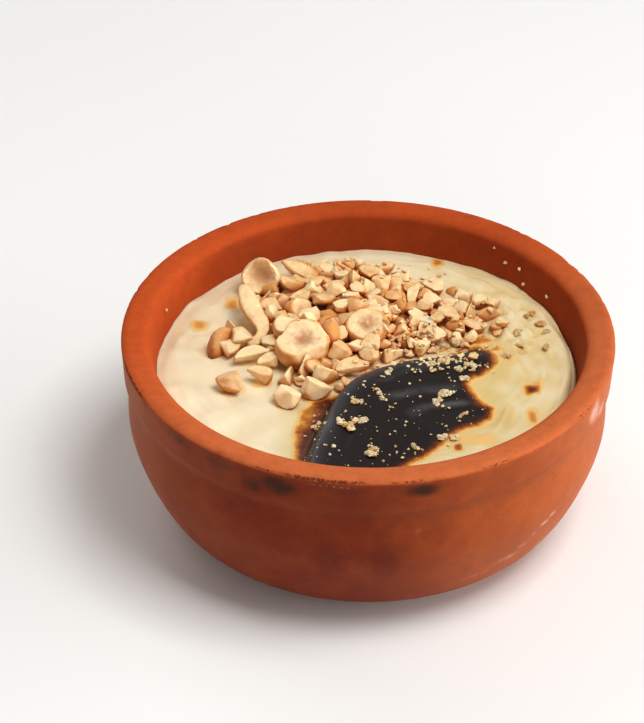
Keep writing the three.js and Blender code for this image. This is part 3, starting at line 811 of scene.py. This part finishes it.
class PUDDING_OT_pudding(bpy.types.Operator):
    """Spins the pudding, raises its blister and wrinkles and marks where it is burnt."""

    bl_idname = "rice_pudding.pudding"
    bl_label = "Pudding and Skin"

    def execute(self, context):
        settings = context.scene.pudding_filling
        wrinkle = settings.wrinkle_depth / MM
        piece = spun("pudding_body", pudding_profile() * MM, PUDDING_STEPS)
        points = points_of(piece) / MM
        top = points[:, 2] > LEVEL - 0.01
        x, y = points[top, 0], points[top, 1]
        radius = np.hypot(x, y)
        height = skin_height(x, y)
        depth = outline_depth(x, y, BURN_OUTLINE)
        unburnt = 1 - ease((depth + 2) / 4)
        # Folds lie along the wall, tight at the right and slack at the left front
        angle = np.arctan2(y, x)
        flat = np.column_stack([x, y, 0 * x])
        warp = 2.2 * lumps(flat, 11.0, 9)
        along = np.column_stack([(radius + warp) / 3.4, 3.2 * np.cos(angle), 3.2 * np.sin(angle)])
        tight = ease((radius - 26) / 14) * (0.3 + 0.7 * ease((x - 12) / 22))
        folds = wrinkle * tight * (lumps(along, 1.0, 1) + 0.5 * lumps(along, 0.5, 5)) * unburnt
        # At the right the skin is lumpy with grains and crumbs baked into it
        lumpy = ease((x - 20) / 14) * ease((y + 4) / 14) * ease((50 - radius) / 6)
        folds += lumpy * (1.3 * lumps(flat, 3.4, 14) + 0.7 * lumps(flat, 1.8, 15)) * unburnt
        height += folds
        swung = angle + 0.02 * warp
        drape = lumps(np.column_stack([9 * np.cos(swung), 9 * np.sin(swung), radius / 22]), 1.0, 3)
        slack = ease((radius - 22) / 16) * ease((8 - x) / 25)
        height += 0.8 * wrinkle * slack * drape * unburnt
        height += 0.4 * lumps(flat, 9.0, 2) * unburnt + 0.14 * lumps(flat, 3.0, 4) * unburnt
        distance, behind, _ = crest_place(x, y)
        ripple = np.sin(2 * np.pi * (distance + 2.5 * lumps(flat, 9.0, 6)) / 6.4)
        ripple *= 0.6 + 0.6 * lumps(flat, 12.0, 8)
        height += 0.3 * ripple * ease(depth / 5) * ~behind
        # At the right the pudding has shrunk a little from the wall
        shrunk = WALL_PULL * np.maximum(0, x / EDGE_RADIUS) ** 6 * ease((radius - EDGE_RADIUS + 1.5) / 1.5)
        kept = 1 - shrunk / EDGE_RADIUS
        points[top] = np.column_stack([x * kept, y * kept, height])
        set_points(piece, points * MM)
        # Painted sheen: a grey band along the blister's crest, wider on its gentle side
        painted_sheen = np.exp(-((distance / np.where(behind, 1.2, 2.4)) ** 2)) * ease(depth / 2.5)
        # The skin is thicker and yellower at the right and round the burn; painted shade yellows the
        # hollows of its folds and of the slack at the left
        rich_and_shaded = np.clip(-0.5 * folds, 0, 0.5) + 0.5 * (1 - ease(-depth / 7))
        rich_and_shaded += 0.7 * ease((x - 2) / 30) * (0.75 + 0.5 * lumps(flat, 5.0, 16))
        rich_and_shaded = np.clip(rich_and_shaded + 0.14 * slack * (0.5 - drape), 0, 1)
        # Left of the crest the skin is brown rather than black
        brown = np.minimum(depth, BROWN_DEPTH + 1.5 * (1 - ease(distance / 7)))
        burn = depth + ease(distance / 4) * behind * (brown - depth)
        for name, values, elsewhere in (
            ("burn_depth", burn, UNBURNT), ("toast_and_shade", self.browned_and_shaded(x, y, flat), 0),
            ("rich_and_shaded", rich_and_shaded, 0), ("painted_sheen", painted_sheen, 0),
        ):
            mark = np.full(len(points), elsewhere, float)
            mark[top] = values
            set_mark(piece, name, mark)
        finish_piece(piece, milk_skin(settings), "pudding_skin", "pudding")
        return {"FINISHED"}

    def browned_and_shaded(self, x, y, flat):
        """How far oven spots brown the skin, with painted shade round the nuts at the heap's edge."""
        spots, nut_shade = np.zeros(len(x)), np.zeros(len(x))
        for sx, sy, half_width, half_height, strength in TOAST_SPOTS:
            square = ((np.abs(x - sx) / half_width) ** 3 + (np.abs(y - sy) / half_height) ** 3) ** (1 / 3)
            uneven = square + 0.25 * lumps(flat, 2.2, 8)
            spots = np.maximum(spots, strength * (1 - ease((uneven - 0.2) / 1.3)))
        # Painted shade: the skin turns golden where the large nuts sit on it
        for _, nx, ny, _, length, width, *_ in LARGE_NUTS:
            near = np.hypot((x - nx) / (0.62 * length), (y - ny) / (0.62 * width))
            nut_shade = np.maximum(nut_shade, 1 - ease(near - 0.45))
        return np.maximum(spots, 0.26 * nut_shade * (0.7 + 0.5 * lumps(flat, 2.5, 12)))


# Nuts: each form is modelled once at unit size, then copied with its own size, turn and lean

class Form:
    """Points, faces and marks of one nut form, one unit across each way."""

    def __init__(self, piece, outer, heart=None):
        points = points_of(piece)
        low, high = points.min(axis=0), points.max(axis=0)
        self.points = (points - (low + high) / 2) / (high - low)
        self.faces = [tuple(polygon.vertices) for polygon in piece.data.polygons]
        self.outer = outer
        self.heart = np.zeros(len(points)) if heart is None else heart
        bpy.data.meshes.remove(piece.data)


def evened(piece, size):
    """Turns a piece into an even net of small faces, which softens its edges as breaking does."""
    net = piece.modifiers.new("even net", "REMESH")
    net.mode = "VOXEL"
    net.voxel_size = size
    bpy.context.view_layer.objects.active = piece
    bpy.ops.object.modifier_apply(modifier=net.name)


# Width of a net's faces on a kernel of radius 1: for large dished pieces, for most, and for shards
FINE_NET = 0.06
NET = 0.1
COARSE_NET = 0.15


def cut_kernel(cuts, net=NET, dish=None):
    """A round kernel cut by flat knife strokes, each a normal and a depth from the middle.

    A dish sinks the middle of its upper face: rows of reach and depth, and how much heart shows there.
    """
    deselect()
    bpy.ops.mesh.primitive_uv_sphere_add(segments=28, ring_count=16, radius=1)
    piece = bpy.context.object
    edit(piece)
    for normal, depth in cuts:
        bpy.ops.mesh.select_all(action="SELECT")
        bpy.ops.mesh.bisect(
            plane_co=Vector(normal).normalized() * depth, plane_no=normal,
            use_fill=True, clear_outer=True, threshold=1e-5,
        )
    bpy.ops.object.mode_set(mode="OBJECT")
    evened(piece, net)
    points = points_of(piece)
    outer = ease((np.linalg.norm(points, axis=1) - 0.88) / 0.08)
    # A knife breaks the kernel more than it cuts it
    broken = 0.05 * lumps(points, 0.45, 3) + 0.025 * lumps(points, 0.2, 5)
    shaped = points * (1 + broken * (1 - 0.7 * outer))[:, None]
    heart = np.zeros(len(points))
    if dish:
        reach = np.hypot(points[:, 0], points[:, 1])
        upper = ease((points[:, 2] - points[:, 2].max() + 0.16) / 0.08) * (1 - outer)
        reaches, depths, hearts = np.array(dish).T
        ragged = reach * (1 + 0.5 * lumps(points, 0.2, 7) + 0.5 * lumps(points, 0.09, 9))
        heart = np.interp(ragged, reaches, hearts) * upper
        shaped[:, 2] -= np.interp(reach, reaches, depths) * upper
    set_points(piece, shaped)
    return Form(piece, outer, heart)


def knife_strokes(random, count, shallow, deep):
    """Seeded knife strokes from all sides."""
    strokes = []
    for _ in range(count):
        normal = Vector(random.normal(size=3)).normalized()
        strokes.append((normal, random.uniform(shallow, deep)))
    return strokes


def chopped(random, count, shallow, deep):
    """Seeded knife strokes from above, spread all round, and one from anywhere."""
    first = random.uniform(0, 2 * np.pi)
    strokes = knife_strokes(random, 1, 0.3, 0.7)
    for i in range(count):
        turn = first + 2 * np.pi * i / count + random.uniform(-0.4, 0.4)
        rise = random.uniform(0.3, 1.2)
        normal = (math.cos(rise) * math.cos(turn), math.cos(rise) * math.sin(turn), math.sin(rise))
        strokes.append((normal, random.uniform(shallow, deep)))
    return strokes


def curled_strip():
    """A long shaving of kernel, from a cube that is subdivided and laid along a line."""
    deselect()
    bpy.ops.mesh.primitive_cube_add(size=1)
    piece = bpy.context.object
    edit(piece)
    bpy.ops.mesh.subdivide(number_cuts=15)
    bpy.ops.object.mode_set(mode="OBJECT")
    points = points_of(piece)
    line = spline(CURL_LINE, 8)
    width = np.interp(np.linspace(0, 1, len(line)), np.linspace(0, 1, len(CURL_WIDTH)), CURL_WIDTH)
    ahead = np.gradient(line, axis=0)
    across = np.column_stack([-ahead[:, 1], ahead[:, 0]]) / np.linalg.norm(ahead, axis=1)[:, None]
    at = (points[:, 0] + 0.5) * (len(line) - 1)
    outer = ease((np.abs(points[:, 1]) - 0.36) / 0.12) * 0.6

    def along(values):
        return np.column_stack([np.interp(at, np.arange(len(line)), column) for column in values.T])

    rounded = 1 - 0.3 * np.abs(2 * points[:, 1]) ** 3
    flat = along(line) + points[:, 1:2] * along(width[:, None]) * along(across)
    laid = np.column_stack([flat, 2.6 * points[:, 2] * rounded])
    set_points(piece, laid + 0.25 * np.column_stack([lumps(laid, 2.2, k) for k in (2, 6, 10)]))
    return Form(piece, outer)


def nut_forms():
    """All forms of nut by name, each a list of variants."""
    random = np.random.default_rng(FORM_SEED)
    chunks = [cut_kernel(chopped(random, 3 + i % 2, 0.15, 0.5)) for i in range(16)]
    wedges = [
        cut_kernel([
            ((0, 0, -1), 0.12), ((math.sin(a), 0.3, math.cos(a)), 0.15), *knife_strokes(random, 2, 0.3, 0.7)
        ])
        for a in (0.5, 0.8, 1.1, 1.4, 1.7, 2.0)
    ]
    slivers = [
        cut_kernel([((0, 0, 1), 0.2), ((0, 0.25, -1), 0.16), *knife_strokes(random, 2, 0.2, 0.6)])
        for _ in range(8)
    ]
    halves = [cut_kernel([((0, 0, -1), 0.1), *chopped(random, 1, 0.55, 0.8)]) for _ in range(5)]
    shards = [cut_kernel(chopped(random, 3 + i % 3, 0.05, 0.4), COARSE_NET) for i in range(20)]
    sliced = [((0, 0, 1), 0.36), ((0, 0, -1), 0.3)]
    slice_cuts = [*sliced, ((0.3, -0.8, 0.55), 0.72), ((-0.75, 0.5, 0.2), 0.82), ((0.9, 0.4, 0.1), 0.86)]
    nub_cuts = [*sliced, ((0.6, 0.7, 0.3), 0.86)]
    shell_cuts = [((0, 0, 1), 0.2), ((0.7, 0.6, 0.4), 0.7), ((-0.9, 0.3, 0.3), 0.76)]
    slice_dish = [(0, 0.05, 0.9), (0.1, 0.09, 0.85), (0.24, 0.06, 0.6), (0.42, 0.02, 0.25), (0.62, 0, 0)]
    nub_dish = [(0, -0.05, 0.35), (0.1, 0, 0.5), (0.17, 0.09, 0.7), (0.35, 0.07, 0.35), (0.6, 0, 0)]
    shell_dish = [(0, 0.62, 0.5), (0.3, 0.55, 0.45), (0.55, 0.34, 0.3), (0.8, 0.06, 0.1), (0.9, 0, 0)]
    return {
        "chunk": chunks,
        "wedge": wedges,
        "sliver": slivers,
        "half": halves,
        "shard": shards,
        "slice": [cut_kernel(slice_cuts, FINE_NET, slice_dish)],
        "nub_slice": [cut_kernel(nub_cuts, FINE_NET, nub_dish)],
        "shell": [cut_kernel(shell_cuts, FINE_NET, shell_dish)],
        "curl": [curled_strip()],
    }


NUT_MARKS = ("tint", "outer", "heart", "skin")


class Strewn:
    """Copies of nut forms, gathered into one mesh."""

    def __init__(self, name):
        self.name = name
        self.points, self.faces, self.count = [], [], 0
        self.marks = {mark: [] for mark in NUT_MARKS}

    def add(self, form, size, place, turn, lean, tint, skin=0.0, seed=0.0, uneven=0.04):
        """Adds one copy, size and place in millimetres, turn and lean in degrees; returns its points."""
        points = form.points.copy()
        if uneven:
            points += uneven * np.column_stack([lumps(points, 0.5, seed + k) for k in (0.3, 7.1, 13.7)])
        spin = Matrix.Rotation(math.radians(lean), 3, "X") @ Matrix.Rotation(math.radians(turn), 3, "Z")
        points = (points * size) @ np.array(spin).T + place
        self.points.append(points * MM)
        self.faces += [tuple(i + self.count for i in face) for face in form.faces]
        self.count += len(points)
        # Paper skin stays on one side only
        side = form.points[:, 0] * math.cos(seed) + form.points[:, 1] * math.sin(seed)
        self.marks["tint"].append(np.full(len(points), tint))
        self.marks["outer"].append(form.outer)
        self.marks["heart"].append(form.heart)
        self.marks["skin"].append(skin * form.outer * ease(0.5 + 1.6 * side))
        return points

    def made(self):
        """The joined mesh as one piece."""
        mesh = bpy.data.meshes.new(self.name)
        mesh.from_pydata(np.vstack(self.points), [], self.faces)
        mesh.validate()
        piece = bpy.data.objects.new(self.name, mesh)
        bpy.context.collection.objects.link(piece)
        for mark, values in self.marks.items():
            set_mark(piece, mark, np.concatenate(values))
        return piece


BED_EDGE_LINE = spline(BED_OUTLINE, 40, closed=True)


def heap_point(share, reach):
    """A point of the heap: share of the way round its outline, and reach from its middle to its edge."""
    count = len(BED_EDGE_LINE)
    edge = BED_EDGE_LINE[np.floor(np.mod(share, 1) * count).astype(int) % count]
    centre = np.array(HEAP_CENTRE, float)
    return centre + np.asarray(reach)[..., None] * (edge - centre)


def bed_height(reach):
    """Height of the heap's form over the pudding's skin, in millimetres."""
    return HEAP_EDGE + (HEAP_RISE - HEAP_EDGE) * (1 - np.asarray(reach) ** 2)


class Pile:
    """Heights of everything that lies on the pudding, on a grid, for pieces to be dropped on."""

    CELL = 0.5
    REACH = 52

    def __init__(self):
        side = np.arange(-self.REACH, self.REACH, self.CELL) + self.CELL / 2
        x, y = np.meshgrid(side, side, indexing="ij")
        self.heights = skin_height(x.ravel(), y.ravel()).reshape(x.shape)
        self.taken = np.zeros(x.shape, bool)

    def cells(self, x, y):
        """The cells that some points lie in."""
        last = len(self.heights) - 1
        return tuple(
            np.clip(((np.asarray(v) + self.REACH) / self.CELL).astype(int), 0, last) for v in (x, y)
        )

    def patch(self, grid, x, y, half):
        """The square of a grid round a point."""
        i, j = self.cells(x, y)
        span = int(round(half / self.CELL))
        return grid[max(i - span, 0):i + span + 1, max(j - span, 0):j + span + 1]

    def cover(self, points, take=False):
        """Raises the heights to the points of a piece."""
        where = self.cells(points[:, 0], points[:, 1])
        np.maximum.at(self.heights, where, points[:, 2])
        if take:
            self.taken[where] = True


class PUDDING_OT_nut_bed(bpy.types.Operator):
    """Lays the bed of fine crumbs that the nuts lie on."""

    bl_idname = "rice_pudding.nut_bed"
    bl_label = "Bed of Crumbs"

    def execute(self, context):
        rings = line_between((1, 0), (0, 0), 60)
        profile = np.vstack([[(0, -1), (1, -1), (1, 0)], rings])
        piece = spun("nut_bed", profile * MM, BED_STEPS)
        points = points_of(piece) / MM
        reach = np.hypot(points[:, 0], points[:, 1])
        share = np.arctan2(points[:, 1], points[:, 0]) / (2 * np.pi)
        flat = heap_point(share, reach)
        top = points[:, 2] > -0.5
        base = skin_height(flat[:, 0], flat[:, 1])
        level = np.column_stack([flat, 0 * reach])
        crumbly = 0.4 * lumps(level, 2.4, 3) + 0.3 * lumps(level, 1.1, 9)
        height = np.where(top, base + bed_height(reach) - BED_SUNK + crumbly, base - 3)
        set_points(piece, np.column_stack([flat, height]) * MM)
        tint = 0.1 + 0.4 * lumps(level, 3.0, 5)
        for mark, values in zip(NUT_MARKS, (tint, 1 + 0 * tint, 0 * tint, 0 * tint)):
            set_mark(piece, mark, values)
        finish_piece(piece, hazelnut(context.scene.pudding_nuts), "hazelnut", "hazelnuts")
        return {"FINISHED"}


NUT_GROUPS = {
    "slice": "nut_slices", "nub_slice": "nut_slices", "half": "nut_halves", "shell": "nut_halves",
    "chunk": "nut_chunks", "wedge": "nut_wedges", "sliver": "nut_slivers", "curl": "nut_slivers",
    "shard": "nut_shards",
}


class PUDDING_OT_nuts(bpy.types.Operator):
    """Places the large pieces of nut, then drops smaller ones between them."""

    bl_idname = "rice_pudding.nuts"
    bl_label = "Chopped Nuts"

    def execute(self, context):
        settings = context.scene.pudding_nuts
        random = np.random.default_rng(NUT_SEED)
        forms = nut_forms()
        groups = {name: Strewn(name) for name in dict.fromkeys(NUT_GROUPS.values())}
        pile = Pile()
        pile.cover(points_of(bpy.data.objects["nut_bed"]) / MM)
        for i, (form, x, y, lift, *size, turn, lean, skin) in enumerate(LARGE_NUTS + SMALL_NUTS):
            placed = groups[NUT_GROUPS[form]].add(
                forms[form][i % len(forms[form])], size, (x, y, LEVEL + lift), turn, lean,
                random.uniform(-0.1, 0.35), skin, 3.7 * i,
            )
            pile.cover(placed, take=True)
        for i in range(settings.piece_count):
            self.drop(random, forms, groups, pile, i)
        material = bpy.data.materials["roasted hazelnut"]
        for group in groups.values():
            finish_piece(group.made(), material, "hazelnut", "hazelnuts")
        return {"FINISHED"}

    def drop(self, random, forms, groups, pile, i):
        """Drops one smaller piece where the heap lacks most of some places tried."""
        reach = 0.98 * np.sqrt(random.random(14))
        spots = heap_point(random.random(14), reach)
        lack = skin_height(spots[:, 0], spots[:, 1]) + bed_height(reach) + FILL_OVER
        lack -= pile.heights[pile.cells(spots[:, 0], spots[:, 1])]
        lack[[pile.patch(pile.taken, x, y, 1.5).any() for x, y in spots]] -= 3
        best = int(lack.argmax())
        if lack[best] < 0.2:
            return
        x, y = spots[best]
        # Chunks lie at the left and in the middle, fine shards at the right and along the edge
        fine = max(ease((x + 2) / 12), ease((reach[best] - 0.7) / 0.25))
        length = random.uniform(4.2, 7) * (1 - fine) + random.uniform(2, 5) * fine
        form = ("chunk", "wedge", "chunk", "sliver")[i % 4] if length > 4 else "shard"
        thick = random.uniform(0.5, 0.75) * length
        z = np.mean(pile.patch(pile.heights, x, y, 0.3 * length)) + 0.2 * thick
        width = random.uniform(0.65, 0.9) * length
        placed = groups[NUT_GROUPS[form]].add(
            forms[form][i % len(forms[form])], (length, width, thick), (x, y, z),
            random.uniform(0, 360), random.uniform(-18, 28), random.uniform(-0.1, 0.5),
            0.7 if random.random() < 0.1 else 0.0, 1.3 * i,
        )
        pile.cover(placed)


def crumb_forms(split, rough):
    """Small broken bits with few faces."""
    random = np.random.default_rng(BIT_SEED)
    made = []
    for _ in range(12):
        deselect()
        bpy.ops.mesh.primitive_ico_sphere_add(subdivisions=split, radius=0.5)
        piece = bpy.context.object
        points = points_of(piece)
        set_points(piece, points * (1, 0.8, 0.7) + random.uniform(-rough, rough, points.shape))
        made.append(Form(piece, random.uniform(0, 0.4, len(points))))
    return made


class PUDDING_OT_crumbs(bpy.types.Operator):
    """Strews crumbs over the heap, flakes over the skin and fine specks over the burn."""

    bl_idname = "rice_pudding.crumbs"
    bl_label = "Crumbs and Flakes"

    def execute(self, context):
        settings = context.scene.pudding_nuts
        random = np.random.default_rng(CRUMB_SEED)
        bits = crumb_forms(1, 0.22)
        plates = crumb_forms(2, 0.13)
        crumbs, flakes = Strewn("nut_crumbs"), Strewn("skin_flakes")
        pile = Pile()
        for name in dict.fromkeys(("nut_bed", *NUT_GROUPS.values())):
            pile.cover(points_of(bpy.data.objects[name]) / MM)

        def drop(group, forms, x, y, length, width, thick, z=None, tint=0.0):
            under = np.mean(pile.patch(pile.heights, x, y, 0.3 * length)) if z is None else z
            group.add(
                forms[int(random.integers(len(forms)))], (length, width, thick), (x, y, under + 0.2 * thick),
                random.uniform(0, 360), random.uniform(-25, 25), tint + random.uniform(-0.2, 0.3), uneven=0,
            )

        for i in range(settings.crumb_count):
            x, y = heap_point(i * GOLDEN_SHARE, math.sqrt((i + 0.5) / settings.crumb_count))
            size = random.uniform(0.9, 2.3)
            if random.random() < 0.02 + 0.98 * ease((x + 4) / 12):
                drop(crumbs, bits, x, y, size, random.uniform(0.6, 1) * size, 0.65 * size)
        for zone_x, zone_y, spread_x, spread_y, count, small, large in CRUMB_ZONES:
            for _ in range(count):
                x, y = zone_x + spread_x * random.normal(), zone_y + spread_y * random.normal()
                size = small + (large - small) * random.random() ** 2
                if math.hypot(x, y) < EDGE_RADIUS - 1:
                    width = random.uniform(0.6, 1) * size
                    drop(crumbs, bits, x, y, size, width, 0.6 * size, tint=0.25 * (y > 0))
        for x, y, length, width, turn in FLAKES:
            ahead = np.array((math.cos(math.radians(turn)), math.sin(math.radians(turn))))
            for _ in range(7):
                at = np.array((x, y)) + random.uniform(-0.36, 0.36) * length * ahead
                at += random.uniform(-0.25, 0.25) * width * np.array((-ahead[1], ahead[0]))
                bit = random.uniform(0.5, 0.85) * width
                thick = min(0.55 * bit, FLAKE_THICKNESS)
                drop(flakes, plates, *at, 1.3 * bit, bit, thick, tint=0.35 * (y > 0))
            for _ in range(3 if y < 0 else 0):
                dx, dy = random.normal(scale=2, size=2)
                bit = random.uniform(0.4, 1)
                drop(flakes, bits, x + dx, y + dy, bit, bit, 0.7 * bit)
        placed = 0
        while placed < settings.speck_count:
            x, y = random.uniform(-14, 32), random.uniform(-45, 6)
            if outline_depth(np.array([x]), np.array([y]), BURN_OUTLINE)[0] < 1:
                continue
            bit = 0.25 + 0.75 * random.random() ** 2
            drop(flakes, bits, x, y, bit, bit, 0.7 * bit)
            placed += 1
        for degrees, height in WALL_CRUMBS:
            reach = np.interp(height, (39.2, 47.8), (51.8, 53)) - 0.25
            turn = math.radians(degrees)
            drop(flakes, bits, reach * math.cos(turn), reach * math.sin(turn), 1.1, 1.0, 1.0, height)
        material = bpy.data.materials["roasted hazelnut"]
        finish_piece(crumbs.made(), material, "hazelnut", "hazelnuts", smooth=False)
        finish_piece(flakes.made(), material, "hazelnut", "pudding", smooth=False)
        return {"FINISHED"}


# Stage

CAMERA_DISTANCE = 500 * MM
CAMERA_ELEVATION = math.radians(34.754)
CAMERA_AIM = (-10.974 * MM, -4.951 * MM, 42.864 * MM)
CAMERA_LENS = 102.24
LIGHT_DISTANCE = 1.1


class PUDDING_OT_stage(bpy.types.Operator):
    """Sets the pale floor, the soft light and the camera."""

    bl_idname = "rice_pudding.stage"
    bl_label = "Floor, Light and Camera"

    def execute(self, context):
        settings = context.scene.pudding_stage
        deselect()
        bpy.ops.mesh.primitive_plane_add(size=6)
        floor = context.object
        floor.name = "floor"
        floor.data.materials.append(pale_floor(settings))
        # Each light: degrees round from +X, elevation, width and height in metres
        self.add_light("key", -28, 67, 0.52, 0.52, settings.key_power)
        self.add_light("side", 0, 11, 1.0, 0.36, settings.side_power)
        self.add_light("back", 125, 40, 0.7, 0.7, settings.back_power)
        self.add_light("front", -98, 20, 0.9, 0.5, settings.front_power)
        world = bpy.data.worlds.new("soft room")
        world.use_nodes = True
        world.node_tree.nodes["Background"].inputs["Color"].default_value = (1.0, 0.94, 0.885, 1)
        world.node_tree.nodes["Background"].inputs["Strength"].default_value = settings.fill
        context.scene.world = world
        context.scene.view_settings.view_transform = "Standard"
        context.scene.view_settings.gamma = 0.88        # the deeper shadows of a camera's tone curve
        self.add_camera(context)
        return {"FINISHED"}

    def add_light(self, name, turn, rise, width, height, power):
        """A soft light that faces the pudding."""
        turn, rise = math.radians(turn), math.radians(rise)
        aim = Vector((0, 0, 0.03))
        away = Vector((math.cos(rise) * math.cos(turn), math.cos(rise) * math.sin(turn), math.sin(rise)))
        bpy.ops.object.light_add(type="AREA", location=aim + LIGHT_DISTANCE * away)
        light = bpy.context.object
        light.name = name
        light.data.shape = "RECTANGLE"
        light.data.size = width
        light.data.size_y = height
        light.data.energy = power
        light.rotation_euler = (-away).to_track_quat("-Z", "Y").to_euler()

    def add_camera(self, context):
        """The camera, raised over the front of the bowl."""
        rim_middle = Vector((0, 0, BOWL_HIGH.z))
        back = Vector((0, -math.cos(CAMERA_ELEVATION), math.sin(CAMERA_ELEVATION)))
        place = rim_middle + CAMERA_DISTANCE * back
        bpy.ops.object.camera_add(location=place)
        camera = context.object
        camera.rotation_euler = (Vector(CAMERA_AIM) - place).to_track_quat("-Z", "Y").to_euler()
        camera.data.lens = CAMERA_LENS
        camera.data.clip_start = 0.01
        context.scene.camera = camera


class PUDDING_PT_panel(bpy.types.Panel):
    """Lists the pieces and their settings in the sidebar."""

    bl_label = "Rice Pudding"
    bl_space_type = "VIEW_3D"
    bl_region_type = "UI"
    bl_category = "Rice Pudding"

    def draw(self, context):
        for operator in OPERATORS:
            self.layout.operator(operator.bl_idname)
        for name, group in SETTINGS.items():
            for field in group.__annotations__:
                self.layout.prop(getattr(context.scene, name), field)


SETTINGS = {
    "pudding_bowl": BowlSettings,
    "pudding_filling": PuddingSettings,
    "pudding_nuts": NutSettings,
    "pudding_stage": StageSettings,
}
OPERATORS = (
    PUDDING_OT_bowl, PUDDING_OT_pudding, PUDDING_OT_nut_bed, PUDDING_OT_nuts, PUDDING_OT_crumbs,
    PUDDING_OT_stage,
)


def register():
    """Registers the settings, the operators and the panel."""
    for name, group in SETTINGS.items():
        bpy.utils.register_class(group)
        setattr(bpy.types.Scene, name, bpy.props.PointerProperty(type=group))
    for cls in (*OPERATORS, PUDDING_PT_panel):
        bpy.utils.register_class(cls)


def unregister():
    """Takes everything that register added away again."""
    for cls in (PUDDING_PT_panel, *reversed(OPERATORS)):
        bpy.utils.unregister_class(cls)
    for name, group in reversed(SETTINGS.items()):
        delattr(bpy.types.Scene, name)
        bpy.utils.unregister_class(group)


def main():
    """Builds the whole object, piece by piece."""
    register()
    bpy.ops.rice_pudding.bowl()
    bpy.ops.rice_pudding.pudding()
    bpy.ops.rice_pudding.nut_bed()
    bpy.ops.rice_pudding.nuts()
    bpy.ops.rice_pudding.crumbs()
    bpy.ops.rice_pudding.stage()


if __name__ == "__main__":
    main()
